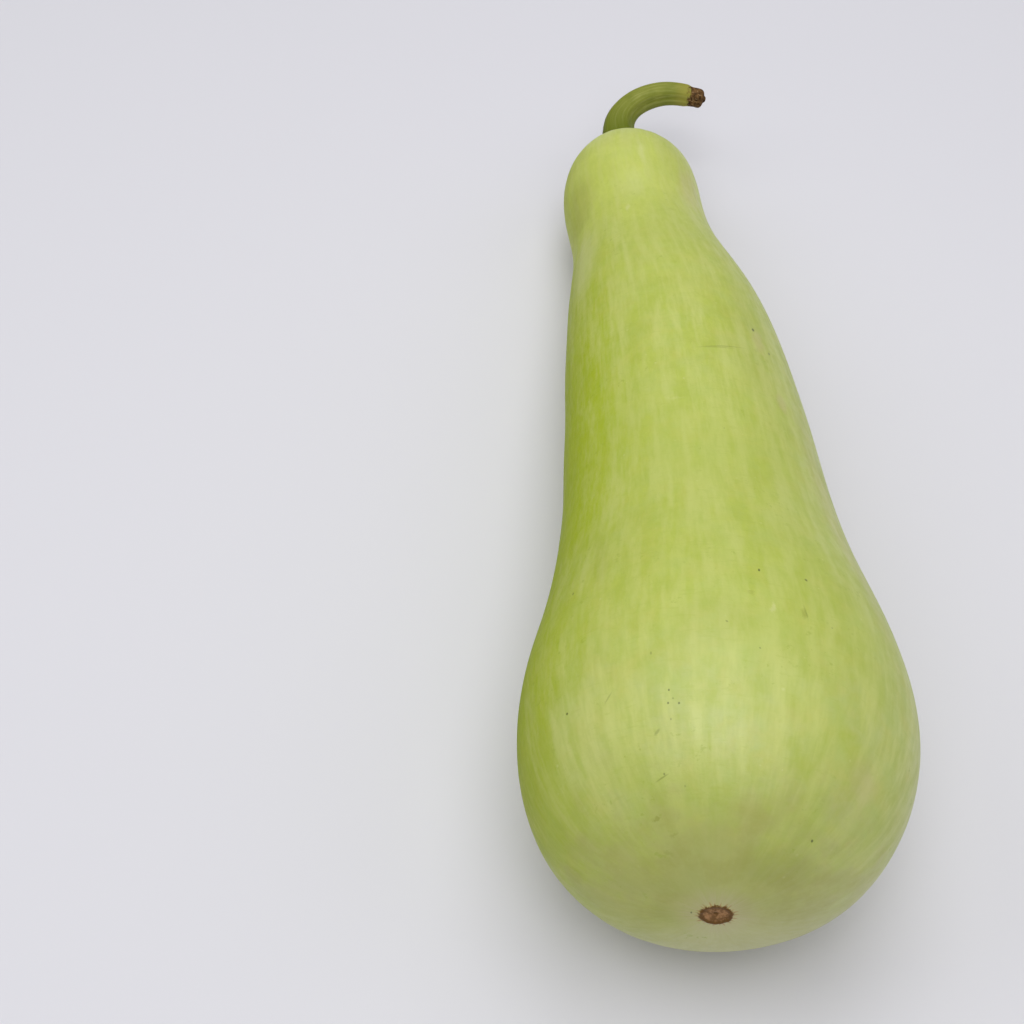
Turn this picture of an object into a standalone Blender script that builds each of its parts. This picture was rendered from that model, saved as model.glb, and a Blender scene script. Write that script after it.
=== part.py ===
"""A bottle gourd lying on its side, as picked: the fruit and the cut stem it hung from.

Metres, +Z up. The blossom end points to -Y and the stem end to +Y. The origin is on the surface that
the gourd lies on, under the middle of its bounding box.
"""

import math

import bmesh
import bpy
import numpy as np
from mathutils import Matrix, Vector

# Fruit: the length of its axis, and the radius of round sections measured from the blossom end
FRUIT_LENGTH = 0.3640
SECTIONS = (
    (0.0110, 0.0382),  # round blossom end
    (0.0330, 0.0538),
    (0.0580, 0.0580),  # widest part of the bulb
    (0.0870, 0.0541),
    (0.1240, 0.0469),
    (0.1670, 0.0432),  # thick shoulder of the neck
    (0.2110, 0.0406),
    (0.2550, 0.0358),
    (0.2870, 0.0294),
    (0.3090, 0.0276),  # waist
    (0.3270, 0.0280),  # knob at the stem end
    (0.3455, 0.0259),
    (0.3580, 0.0182),
)

# The neck grew bent to one side: the axis in X at distances from the blossom end
BEND = (
    (0.0000, -0.0006),
    (0.0300, -0.0007),
    (0.0580, -0.0004),
    (0.0900, -0.0013),
    (0.1270, -0.0035),
    (0.1650, -0.0063),
    (0.2000, -0.0094),
    (0.2470, -0.0152),
    (0.2760, -0.0202),
    (0.3020, -0.0243),
    (0.3270, -0.0283),
    (0.3640, -0.0307),
)

# How it lies: the axis slopes down to the stem end, and its own weight presses two spots flat
AXIS_HEIGHT_AT_BULB = 0.0579
AXIS_HEIGHT_AT_KNOB = 0.0280
BULB_STATION = 0.0580
KNOB_STATION = 0.3270
AXIS_FRAME_STEP = 0.0020

# The three seed chambers show as soft lobes round the bulb: share of the radius, and place of the first
LOBES = 3
LOBE_SHARE = 0.036
LOBE_TURN = math.radians(16)

# Blossom scar: a sunk corky disc in a raised ring, with the pit that the style left
SCAR_RING_RADIUS = 0.0040
SCAR_RING_HALF_WIDTH = 0.0007
SCAR_RING_HEIGHT = 0.00035
SCAR_SINK = 0.00030
STYLE_PIT_RADIUS = 0.0009
STYLE_PIT_DEPTH = 0.00045

# Seat of the stem: a flat place on the end of the knob, and the gap that keeps the stem's foot clear of it
SEAT_RADIUS = 0.0098
SEAT_SHOULDER_RADIUS = 0.0145
SEAT_STATION = 0.3610
SEAT_GAP = 0.0003

# Stem: its line from the seat, as steps to the right, up and out, and the thickness along it
STEM_LINE = (
    (0.0000, 0.0000, 0.0000),
    (-0.0026, 0.0026, 0.0088),
    (-0.0043, 0.0058, 0.0172),
    (-0.0018, 0.0090, 0.0250),
    (0.0050, 0.0123, 0.0304),
    (0.0150, 0.0138, 0.0332),
    (0.0240, 0.0134, 0.0330),
    (0.0312, 0.0125, 0.0320),
)
STEM_FOOT_RADIUS = 0.0088
STEM_LOW_RADIUS = 0.0065
STEM_TIP_RADIUS = 0.0045
STEM_FLARE_LENGTH = 0.0340
STEM_TURN_LENGTH = 0.0120
STEM_RIBS = 5
STEM_RIB_SHARE = 0.050

# Corky callus on the cut end: lumpy, with rings that round its edge and end in the nub of wood in the middle
CALLUS_LENGTH = 0.0060
CALLUS_SWELL = 0.0003
CALLUS_LUMPS = 7
CALLUS_LUMP_SHARE = 0.060
CALLUS_TWIST = 900.0  # radians in each metre
CALLUS_END_SHARES = (0.93, 0.74, 0.44, 0.30)
CALLUS_END_RISES = (0.0007, 0.0013, 0.0015, 0.0025)
NUB_RISE = 0.0028

# Mesh fineness
FRUIT_SIDES = 60
FRUIT_RING_STEP = 0.0082
SCAR_RING_RADII = (0.0005, 0.0010, 0.0026, 0.0034, 0.0040, 0.0046, 0.0054, 0.0075, 0.0110, 0.0160, 0.0220)
SEAT_RING_RADII = (0.0235, 0.0213, 0.0190, 0.0168, 0.0150, 0.0137, 0.0124, 0.0111, 0.0098, 0.0050)
STEM_SIDES = 30
STEM_RINGS = 34
TABLE_POINTS = 2001
SHARP_EDGE = math.radians(40)

SKIN_COLOUR = (0.50, 0.60, 0.14, 1.0)
STEM_COLOUR = (0.20, 0.22, 0.045, 1.0)


def natural_spline(stations, values):
    """A smooth curve through the values, straight at both ends, as a function of the station."""
    x = np.asarray(stations, float)
    y = np.asarray(values, float)
    step = np.diff(x)
    slope = np.diff(y) / step
    system = np.eye(len(x))
    right_side = np.zeros(len(x))
    for i in range(1, len(x) - 1):
        system[i, i - 1 : i + 2] = step[i - 1], 2 * (step[i - 1] + step[i]), step[i]
        right_side[i] = 6 * (slope[i] - slope[i - 1])
    bow = np.linalg.solve(system, right_side)

    def curve(at):
        at = np.asarray(at, float)
        i = np.clip(np.searchsorted(x, at) - 1, 0, len(step) - 1)
        before, after = at - x[i], x[i + 1] - at
        cubic = (bow[i] * after**3 + bow[i + 1] * before**3) / (6 * step[i])
        start = (y[i] / step[i] - bow[i] * step[i] / 6) * after
        end = (y[i + 1] / step[i] - bow[i + 1] * step[i] / 6) * before
        return cubic + start + end

    return curve


def smooth_step(low, high, at):
    """Rises from 0 at low to 1 at high, level at both ends."""
    share = np.clip((np.asarray(at, float) - low) / (high - low), 0, 1)
    return share * share * (3 - 2 * share)


def turn_of(station):
    """The angle that runs from 0 to pi along the axis, as on a half circle. It keeps the ends round."""
    return np.arccos(np.clip(1 - 2 * np.asarray(station, float) / FRUIT_LENGTH, -1, 1))


section_radius = natural_spline(
    [0.0, *(turn_of(station) for station, _ in SECTIONS), math.pi],
    [0.0, *(radius for _, radius in SECTIONS), 0.0],
)
bend_at = natural_spline([station for station, _ in BEND], [shift for _, shift in BEND])


def axis_point(station):
    """The middle of the fruit at a distance from the blossom end."""
    fall = (AXIS_HEIGHT_AT_BULB - AXIS_HEIGHT_AT_KNOB) / (KNOB_STATION - BULB_STATION)
    height = AXIS_HEIGHT_AT_BULB - fall * (station - BULB_STATION)
    return Vector((float(bend_at(station)), station * math.sqrt(1 - fall * fall), height))


def axis_frame(station):
    """Right, up and along directions of the axis there. Along points to the stem end."""
    at = min(max(station, AXIS_FRAME_STEP), FRUIT_LENGTH - AXIS_FRAME_STEP)
    along = (axis_point(at + AXIS_FRAME_STEP) - axis_point(at - AXIS_FRAME_STEP)).normalized()
    right = along.cross(Vector((0, 0, 1))).normalized()
    return right, right.cross(along), along


def scar_relief(radius):
    """How far the blossom scar stands out of the round end, at a distance from its middle."""
    ring = SCAR_RING_HEIGHT * math.exp(-(((radius - SCAR_RING_RADIUS) / SCAR_RING_HALF_WIDTH) ** 2))
    sunk = SCAR_SINK * float(1 - smooth_step(STYLE_PIT_RADIUS, SCAR_RING_RADIUS, radius))
    pit = STYLE_PIT_DEPTH * math.exp(-((radius / STYLE_PIT_RADIUS) ** 2))
    return ring - sunk - pit


def fruit_rings():
    """(station, radius) of each ring from the scar to the seat: close together at both ends."""
    turns = np.linspace(0, math.pi, TABLE_POINTS)
    radii = section_radius(turns)
    stations = FRUIT_LENGTH * (1 - np.cos(turns)) / 2
    widest = int(np.argmax(radii))
    knob = int(np.argmin(np.abs(stations - KNOB_STATION)))
    walked = np.concatenate([[0.0], np.cumsum(np.hypot(np.diff(stations), np.diff(radii)))])

    rings = []
    for radius in SCAR_RING_RADII:
        station = float(np.interp(radius, radii[:widest], stations[:widest]))
        rings.append((station - scar_relief(radius), radius))
    start = float(np.interp(SCAR_RING_RADII[-1], radii[:widest], walked[:widest]))
    end = float(np.interp(-SEAT_RING_RADII[0], -radii[knob:], walked[knob:]))
    count = round((end - start) / FRUIT_RING_STEP)
    for distance in np.linspace(start, end, count + 1)[1:-1]:
        station = float(np.interp(distance, walked, stations))
        rings.append((station, float(np.interp(distance, walked, radii))))
    for radius in SEAT_RING_RADII:
        station = float(np.interp(-radius, -radii[knob:], stations[knob:]))
        blend = float(smooth_step(SEAT_RADIUS, SEAT_SHOULDER_RADIUS, radius))
        rings.append((SEAT_STATION + (station - SEAT_STATION) * blend, radius))
    return rings


def fruit_ring(station, radius):
    """The points of one ring, with the lobes fading out towards both ends and the resting spots flat."""
    centre = axis_point(station)
    right, up, _ = axis_frame(station)
    widest = max(radius for _, radius in SECTIONS)
    lobe = LOBE_SHARE * (radius / widest) ** 2 * math.sin(math.pi * min(max(station / FRUIT_LENGTH, 0), 1))
    points = []
    for side in range(FRUIT_SIDES):
        angle = 2 * math.pi * side / FRUIT_SIDES
        out = radius * (1 + lobe * math.cos(LOBES * (angle - LOBE_TURN)))
        point = centre + right * (out * math.cos(angle)) + up * (out * math.sin(angle))
        point.z = max(point.z, 0.0)
        points.append(point)
    return points


def loft(name, rings, start_point=None, end_point=None):
    """A closed mesh through rings of points. An end closes on its point, or on a flat face without one."""
    mesh = bmesh.new()
    loops = [[mesh.verts.new(point) for point in ring] for ring in rings]
    sides = len(rings[0])
    for low, high in zip(loops, loops[1:]):
        for i in range(sides):
            j = (i + 1) % sides
            mesh.faces.new((low[i], low[j], high[j], high[i]))
    for loop, point in ((loops[0], start_point), (loops[-1], end_point)):
        if point is None:
            mesh.faces.new(loop)
            continue
        tip = mesh.verts.new(point)
        for i in range(sides):
            mesh.faces.new((loop[i], loop[(i + 1) % sides], tip))
    bmesh.ops.recalc_face_normals(mesh, faces=mesh.faces)
    data = bpy.data.meshes.new(name)
    mesh.to_mesh(data)
    mesh.free()
    data.shade_smooth()
    data.set_sharp_from_angle(angle=SHARP_EDGE)
    return data


def fruit_mesh():
    """The whole fruit: scar, bulb, neck, waist, knob and seat."""
    rings = [fruit_ring(station, radius) for station, radius in fruit_rings()]
    pit_bottom = axis_point(0.0) - axis_frame(0.0)[2] * scar_relief(0.0)
    seat_middle = axis_point(SEAT_STATION)
    return loft("fruit", rings, pit_bottom, seat_middle)


def stem_radius(walked, length):
    """Flared foot, then a slow taper, then the swollen callus."""
    taper = STEM_LOW_RADIUS + (STEM_TIP_RADIUS - STEM_LOW_RADIUS) * walked / length
    flare = (STEM_FOOT_RADIUS - STEM_LOW_RADIUS) * (1 - smooth_step(0, STEM_FLARE_LENGTH, walked))
    swell = CALLUS_SWELL * smooth_step(length - CALLUS_LENGTH, length - CALLUS_LENGTH / 2, walked)
    return taper + flare + swell


def stem_mesh():
    """A ribbed tube along the stem line, in the seat's own frame: X to the right, Y down and Z out."""
    steps = np.arange(len(STEM_LINE))
    curves = [natural_spline(steps, [point[axis] for point in STEM_LINE]) for axis in range(3)]
    to_right, above, outwards = (curve(np.linspace(0, steps[-1], TABLE_POINTS)) for curve in curves)
    line = np.stack([to_right, -above, outwards], axis=1)
    walked = np.concatenate([[0.0], np.cumsum(np.linalg.norm(np.diff(line, axis=0), axis=1))])
    length = walked[-1]
    tangents = np.gradient(line, walked, axis=0)

    def read(table, distance):
        return Vector(float(np.interp(distance, walked, table[:, axis])) for axis in range(3))

    rings = []
    seat_normal = Vector((0, 0, 1))
    right = Vector((1, 0, 0))
    for distance in np.linspace(0, length, STEM_RINGS):
        centre = read(line, distance)
        turned = float(smooth_step(0, STEM_TURN_LENGTH, distance))
        along = seat_normal.lerp(read(tangents, distance).normalized(), turned).normalized()
        right = (right - along * right.dot(along)).normalized()
        other = along.cross(right)
        callus = float(smooth_step(length - CALLUS_LENGTH, length - CALLUS_LENGTH / 2, distance))
        radius = float(stem_radius(distance, length))
        points = []
        for side in range(STEM_SIDES):
            angle = 2 * math.pi * side / STEM_SIDES
            rib = STEM_RIB_SHARE * (1 - callus) * math.cos(STEM_RIBS * angle)
            lump = CALLUS_LUMP_SHARE * callus * math.sin(CALLUS_LUMPS * angle + CALLUS_TWIST * distance)
            out = radius * (1 + rib + lump)
            points.append(centre + right * (out * math.cos(angle)) + other * (out * math.sin(angle)))
        rings.append(points)

    last = rings[-1]
    for share, rise in zip(CALLUS_END_SHARES, CALLUS_END_RISES):
        rings.append([centre + (point - centre) * share + along * rise for point in last])
    return loft("stem", rings, None, centre + along * NUB_RISE)


def plain_material(name, colour, roughness):
    """A Principled material of one colour."""
    material = bpy.data.materials.new(name)
    material.use_nodes = True
    shader = material.node_tree.nodes["Principled BSDF"]
    shader.inputs["Base Color"].default_value = colour
    shader.inputs["Roughness"].default_value = roughness
    shader.inputs["Metallic"].default_value = 0.0
    return material


def add_object(name, mesh, material, parent):
    """An object of that mesh and material, under the parent."""
    mesh.materials.append(material)
    made = bpy.data.objects.new(name, mesh)
    bpy.context.scene.collection.objects.link(made)
    made.parent = parent
    return made


def box_of(objects):
    """Lowest and highest corner of the objects together."""
    corners = [made.matrix_world @ vertex.co for made in objects for vertex in made.data.vertices]
    low = Vector(min(corner[axis] for corner in corners) for axis in range(3))
    high = Vector(max(corner[axis] for corner in corners) for axis in range(3))
    return low, high


for old in list(bpy.data.objects):
    bpy.data.objects.remove(old)

gourd = bpy.data.objects.new("bottle_gourd", None)
bpy.context.scene.collection.objects.link(gourd)

fruit = add_object("fruit", fruit_mesh(), plain_material("gourd_skin", SKIN_COLOUR, 0.4), gourd)
stem = add_object("stem", stem_mesh(), plain_material("stem_skin", STEM_COLOUR, 0.6), gourd)
seat_right, seat_up, seat_out = axis_frame(SEAT_STATION)
stem.location = axis_point(SEAT_STATION) + seat_out * SEAT_GAP
stem.rotation_euler = Matrix((seat_right, -seat_up, seat_out)).transposed().to_euler()

bpy.context.view_layer.update()
lowest, highest = box_of((fruit, stem))
middle = (lowest + highest) / 2
gourd.location = (-middle.x, -middle.y, 0)
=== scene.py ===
import math

import bpy
import numpy as np
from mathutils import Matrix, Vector


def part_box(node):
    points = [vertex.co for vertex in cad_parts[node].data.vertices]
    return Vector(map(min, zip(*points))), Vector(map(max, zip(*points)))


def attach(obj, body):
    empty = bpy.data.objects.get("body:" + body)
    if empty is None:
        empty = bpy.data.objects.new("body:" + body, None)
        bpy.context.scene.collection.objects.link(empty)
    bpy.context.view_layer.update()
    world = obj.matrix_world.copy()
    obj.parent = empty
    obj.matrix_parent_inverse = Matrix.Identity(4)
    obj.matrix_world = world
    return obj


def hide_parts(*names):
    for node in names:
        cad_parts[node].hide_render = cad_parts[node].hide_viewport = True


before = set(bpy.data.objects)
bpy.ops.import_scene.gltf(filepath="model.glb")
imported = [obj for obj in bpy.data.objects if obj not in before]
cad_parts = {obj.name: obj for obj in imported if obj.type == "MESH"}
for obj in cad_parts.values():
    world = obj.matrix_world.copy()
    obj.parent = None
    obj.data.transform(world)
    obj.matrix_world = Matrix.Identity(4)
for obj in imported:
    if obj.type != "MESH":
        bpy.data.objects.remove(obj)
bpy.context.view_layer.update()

# View
# The gourd is seen from above its blossom end, as by someone standing at the table. Places are in the
# gourd's own frame, in metres.
CAMERA_PLACE = (-0.0427, -0.3849, 0.4669)
CAMERA_DOWN = math.radians(51.5)
CAMERA_TURN = math.radians(3.98)
CAMERA_LENS = 56.25
CAMERA_SENSOR = 36.0
CAMERA_NEAREST = 0.01

camera_data = bpy.data.cameras.new("camera")
camera_data.lens = CAMERA_LENS
camera_data.sensor_width = CAMERA_SENSOR
camera_data.sensor_fit = "HORIZONTAL"
camera_data.clip_start = CAMERA_NEAREST
camera = bpy.data.objects.new("camera", camera_data)
camera.location = CAMERA_PLACE
camera.rotation_euler = (math.pi / 2 - CAMERA_DOWN, 0.0, CAMERA_TURN)
bpy.context.scene.collection.objects.link(camera)
bpy.context.scene.camera = camera
bpy.context.scene.view_settings.view_transform = "Standard"

# Table and light
# A matt pale grey table top, lit by a large soft lamp overhead, weaker ones on four sides and the room.
# A green card at the gourd's left shows in its gloss only, and keeps the lamps' gleam off that flank.
TABLE_HALF = 3.0
TABLE_CORNERS = ((-1, -1), (1, -1), (1, 1), (-1, 1))
TABLE_COLOUR = (0.744, 0.736, 0.780, 1.0)
MATT_ROUGHNESS = 0.9
ROOM_COLOUR = (0.93, 0.95, 1.0, 1.0)
ROOM_STRENGTH = 0.18
LAMPS = (
    # name, place, size, power in watts, whether its gleam shows
    ("overhead_lamp", (-0.03, -0.18, 1.60), 1.3, 10.4, True),
    ("front_lamp", (0.00, -0.92, 1.31), 1.2, 5.9, True),
    ("back_lamp", (0.00, 0.92, 1.31), 1.2, 5.2, True),
    ("left_lamp", (-1.13, 0.00, 1.13), 1.2, 3.9, False),
    ("right_lamp", (1.13, 0.00, 1.13), 1.2, 2.5, False),
)
LAMP_AIM = (0.0, 0.0, 0.04)
CARD_FOOT = -0.070
CARD_TOP = -0.130
CARD_HALF_LENGTH = 0.22
CARD_LIFT = 0.001
CARD_HEIGHT = 0.11
CARD_COLOUR = (0.16, 0.20, 0.020, 1.0)


def shader_node(tree, kind, sockets=(), **settings):
    """A new node. Each pair in sockets gives an input a number, a colour or another node's output."""
    node = tree.nodes.new(kind)
    for name, value in settings.items():
        setattr(node, name, value)
    for socket, value in sockets:
        if isinstance(value, bpy.types.NodeSocket):
            tree.links.new(value, node.inputs[socket])
        else:
            node.inputs[socket].default_value = value
    return node


def new_material(name, **sockets):
    """A material whose Principled shader has those values all over, its tree and the shader."""
    material = bpy.data.materials.new(name)
    material.use_nodes = True
    shader = material.node_tree.nodes["Principled BSDF"]
    for socket, value in sockets.items():
        shader.inputs[socket.replace("_", " ")].default_value = value
    return material, material.node_tree, shader


table_mesh = bpy.data.meshes.new("table_top")
corners = [(x * TABLE_HALF, y * TABLE_HALF, 0.0) for x, y in TABLE_CORNERS]
table_mesh.from_pydata(corners, [], [(0, 1, 2, 3)])
table_paint = new_material(
    "table_paint", Roughness=MATT_ROUGHNESS, Base_Color=TABLE_COLOUR, Specular_IOR_Level=0.0
)[0]
table_mesh.materials.append(table_paint)
table_top = bpy.data.objects.new("table_top", table_mesh)
bpy.context.scene.collection.objects.link(table_top)

room = bpy.data.worlds.new("room")
room.use_nodes = True
room.node_tree.nodes["Background"].inputs["Color"].default_value = ROOM_COLOUR
room.node_tree.nodes["Background"].inputs["Strength"].default_value = ROOM_STRENGTH
bpy.context.scene.world = room

card_mesh = bpy.data.meshes.new("shade_card")
card_mesh.from_pydata([
    (CARD_FOOT, -CARD_HALF_LENGTH, CARD_LIFT), (CARD_FOOT, CARD_HALF_LENGTH, CARD_LIFT),
    (CARD_TOP, CARD_HALF_LENGTH, CARD_HEIGHT), (CARD_TOP, -CARD_HALF_LENGTH, CARD_HEIGHT),
], [], [(0, 1, 2, 3)])
card_mesh.materials.append(new_material("shade_card", Roughness=MATT_ROUGHNESS, Base_Color=CARD_COLOUR)[0])
card = bpy.data.objects.new("shade_card", card_mesh)
card.visible_camera = False
card.visible_diffuse = False
card.visible_shadow = False
bpy.context.scene.collection.objects.link(card)

for lamp_name, lamp_place, lamp_size, lamp_power, lamp_gleams in LAMPS:
    lamp_data = bpy.data.lights.new(lamp_name, "AREA")
    lamp_data.shape = "DISK"
    lamp_data.size = lamp_size
    lamp_data.energy = lamp_power
    lamp = bpy.data.objects.new(lamp_name, lamp_data)
    lamp.visible_glossy = lamp_gleams
    lamp.location = lamp_place
    lamp.rotation_euler = (Vector(LAMP_AIM) - Vector(lamp_place)).to_track_quat("-Z", "Y").to_euler()
    bpy.context.scene.collection.objects.link(lamp)

# Fruit
# One grown body: round bulb, long neck bent to -X, waist and knob. Its thin waxy skin is pale green with
# fine streaks that run from end to end. At the bulb's end is the corky scar that the flower left.
FRUIT_LENGTH = 0.3640
SECTIONS = (
    # distance from the blossom end along the axis, radius
    (0.0110, 0.0382),
    (0.0330, 0.0538),
    (0.0580, 0.0580),
    (0.0870, 0.0541),
    (0.1240, 0.0469),
    (0.1670, 0.0432),
    (0.2110, 0.0406),
    (0.2550, 0.0358),
    (0.2870, 0.0294),
    (0.3090, 0.0276),
    (0.3270, 0.0280),
    (0.3455, 0.0259),
    (0.3580, 0.0182),
)
BEND = (
    # distance from the blossom end, the axis there in X
    (0.0000, -0.0006),
    (0.0300, -0.0007),
    (0.0580, -0.0004),
    (0.0900, -0.0013),
    (0.1270, -0.0035),
    (0.1650, -0.0063),
    (0.2000, -0.0094),
    (0.2470, -0.0152),
    (0.2760, -0.0202),
    (0.3020, -0.0243),
    (0.3270, -0.0283),
    (0.3640, -0.0307),
)
BEND_STEP = 0.002
AXIS_HEIGHT_AT_BULB = 0.0579
AXIS_HEIGHT_AT_KNOB = 0.0280
BULB_STATION = 0.0580
KNOB_STATION = 0.3270
AXIS_FALL = (AXIS_HEIGHT_AT_BULB - AXIS_HEIGHT_AT_KNOB) / (KNOB_STATION - BULB_STATION)
AXIS_LEVEL = math.sqrt(1 - AXIS_FALL * AXIS_FALL)
UPRIGHT = (0.0, 0.0, 1.0)
LOBES = 3
LOBE_SHARE = 0.036
LOBE_TURN = math.radians(16)
SCAR_RING_RADIUS = 0.0042
SCAR_RING_HALF_WIDTH = 0.0006
SCAR_RING_HEIGHT = 0.00035
SCAR_RAGGED_SHARE = 0.35
SCAR_SINK = 0.00030
SCAR_GRAIN = 0.00006
SCAR_GRAIN_EDGE = (0.003, 0.005)
SCAR_REACH = 0.02
STYLE_PIT_RADIUS = 0.0008
STYLE_PIT_DEPTH = 0.00045
SEAT_RADIUS = 0.0098
SEAT_SHOULDER_RADIUS = 0.0145
SEAT_STATION = 0.3610
SOFT_HEIGHT = 0.00022
RIPPLE_HEIGHT = 0.00005
SMOOTH_NEAR_SCAR = (0.006, 0.030)
SMOOTH_NEAR_SEAT = (0.010, 0.035)
# How many cosines, the most turns round the body and the most waves in a metre along it.
SCAR_RAGGED = (9, 16, 0)
SCAR_GRAINY = (14, 9, 900)
BODY_SOFT = (16, 5, 22)
BODY_RIPPLED = (20, 34, 30)
FRUIT_SEED = 7
FRUIT_SIDES = 288
END_RING_STEP = 0.00022
SEAT_RING_STEP = 0.00045
MIDDLE_RING_STEP = 0.00180
STEP_GROWTH_LENGTH = 0.040
STEP_GROWTH = (MIDDLE_RING_STEP - END_RING_STEP) / STEP_GROWTH_LENGTH
END_STRETCH = 0.0065
SEAT_STRETCH = 0.018
TABLE_POINTS = 4001
GROWN_RADIUS = 0.050  # the skin's own coordinates are those of a straight tube this wide


def natural_spline(stations, values):
    """A smooth curve through the values, straight at both ends, as a function of the station."""
    x = np.asarray(stations, float)
    y = np.asarray(values, float)
    step = np.diff(x)
    slope = np.diff(y) / step
    system = np.eye(len(x))
    right_side = np.zeros(len(x))
    for i in range(1, len(x) - 1):
        system[i, i - 1 : i + 2] = step[i - 1], 2 * (step[i - 1] + step[i]), step[i]
        right_side[i] = 6 * (slope[i] - slope[i - 1])
    bow = np.linalg.solve(system, right_side)

    def curve(at):
        at = np.asarray(at, float)
        i = np.clip(np.searchsorted(x, at) - 1, 0, len(step) - 1)
        before, after = at - x[i], x[i + 1] - at
        cubic = (bow[i] * after**3 + bow[i + 1] * before**3) / (6 * step[i])
        start = (y[i] / step[i] - bow[i] * step[i] / 6) * after
        end = (y[i + 1] / step[i] - bow[i + 1] * step[i] / 6) * before
        return cubic + start + end

    return curve


def smooth_step(low, high, at):
    """Rises from 0 at low to 1 at high, level at both ends."""
    share = np.clip((np.asarray(at, float) - low) / (high - low), 0, 1)
    return share * share * (3 - 2 * share)


def unit(vectors):
    """Each vector at length one."""
    return vectors / np.linalg.norm(vectors, axis=-1, keepdims=True)


def lumps(rng, terms, turns, waves, angle, distance):
    """Soft unevenness from -1 to 1: a sum of cosines of whole turns round the body and waves along it."""
    total = np.zeros(np.broadcast(angle, distance).shape)
    for _ in range(terms):
        turn, wave = rng.integers(0, turns + 1), rng.uniform(-waves, waves)
        total += np.cos(turn * angle + 2 * math.pi * wave * distance + rng.uniform(0, 2 * math.pi))
    return total / math.sqrt(2 * terms)


def axis_frame(stations):
    """The axis at each station: its place, and the directions along it, to its right and up.

    Its place is the bend in X, the station's level part in Y, and in Z a height that falls evenly from the
    bulb to the knob. The direction along it is the slope of that line. The others stand square to it.
    """
    bend = natural_spline([at for at, _ in BEND], [shift for _, shift in BEND])
    here = np.atleast_1d(stations)
    ahead = bend(np.minimum(here + BEND_STEP, FRUIT_LENGTH))
    slope = (ahead - bend(np.maximum(here - BEND_STEP, 0))) / (2 * BEND_STEP)
    height = AXIS_HEIGHT_AT_BULB - AXIS_FALL * (here - BULB_STATION)
    place = np.stack([bend(here), here * AXIS_LEVEL, height], axis=1)
    along = unit(np.stack([slope, np.full_like(here, AXIS_LEVEL), np.full_like(here, -AXIS_FALL)], axis=1))
    right = unit(np.cross(along, UPRIGHT))
    return place, along, right, np.cross(right, along)


def ring_points(centre, right, up, out, angle):
    """Rings round the centres: out times the cosine of the angle to the right, and times its sine up."""
    points = centre[:, None] + right[:, None] * (out * np.cos(angle))[..., None]
    return points + up[:, None] * (out * np.sin(angle))[..., None]


def tube_coordinates(radius, angle, distance):
    """The body's own coordinates: each point's place on a straight tube of that radius."""
    return np.stack(np.broadcast_arrays(radius * np.cos(angle), radius * np.sin(angle), distance), axis=-1)


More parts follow.
